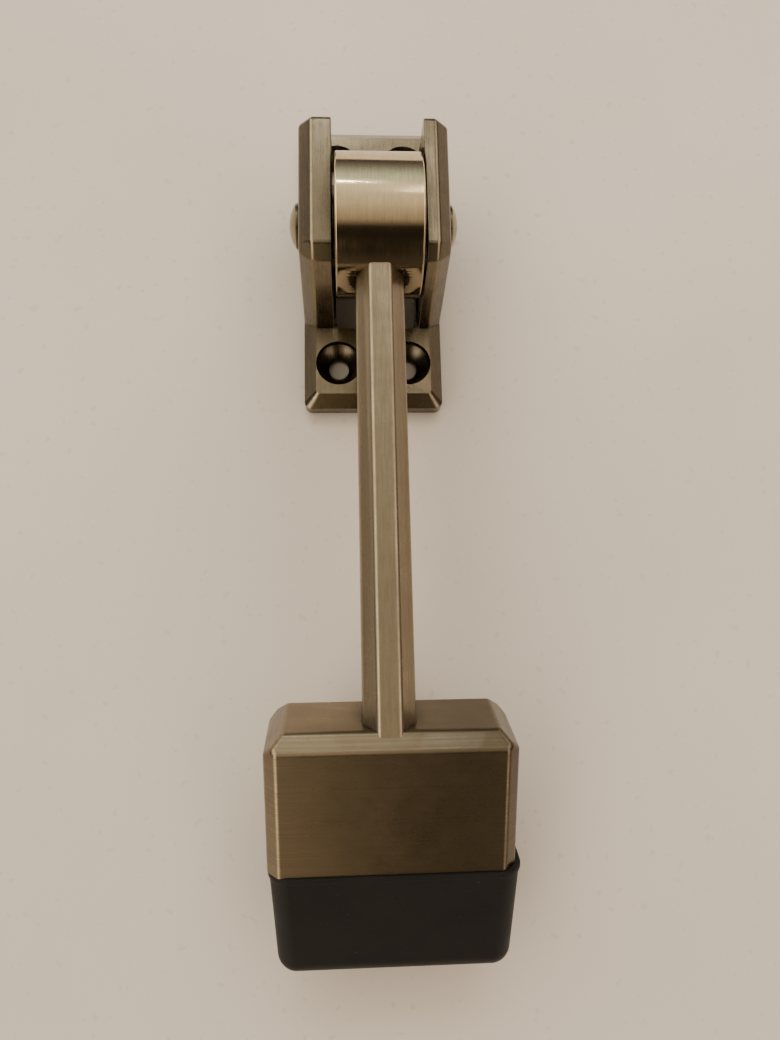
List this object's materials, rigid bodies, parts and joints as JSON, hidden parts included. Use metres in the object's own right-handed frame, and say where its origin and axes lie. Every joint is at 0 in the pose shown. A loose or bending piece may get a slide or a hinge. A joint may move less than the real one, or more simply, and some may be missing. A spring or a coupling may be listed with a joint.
{
  "type": "flip-down door stop",
  "caption": "Flip-down door stop: a screw-on eared bracket holds a hinged bar with a bevelled metal foot and a black rubber sole.",
  "frame": {"origin": "middle of the bracket's back face, where it meets the door, at the centre of the four screw holes", "axes": "+Z out of the door face, +Y up the door away from the foot, +X across the bracket along the hinge pin"},
  "size_m": [0.045, 0.1751, 0.0342],
  "materials": {
    "bracket_brass": "antique brushed, clear lacquer",
    "lever_brass": "antique brushed, clear lacquer",
    "washer_brass": "satin",
    "steel": "zinc plated",
    "foot_rubber": "matte"
  },
  "bodies": {
    "bracket": {"base_bracket": "bracket_brass", "hinge_pin": "bracket_brass", "pin_cap": "bracket_brass", "washer_left": "washer_brass", "washer_right": "washer_brass"},
    "lever": {"hinge_barrel": "lever_brass", "arm_bar": "lever_brass", "foot_housing": "lever_brass", "rubber_foot": "foot_rubber", "detent_spring": "steel", "detent_ball_left": "steel", "detent_ball_right": "steel", "arm_screw": "steel", "arm_screw_washer": "steel", "foot_screw_left": "steel", "foot_screw_right": "steel", "foot_screw_washer_left": "steel", "foot_screw_washer_right": "steel"}
  },
  "joints": [
    {"name": "lever_hinge", "type": "hinge", "parent": "bracket", "child": "lever", "pos_m": [0, 0, 0.02], "axis": [-1, 0, 0], "range_deg": [0, 180]}
  ]
}
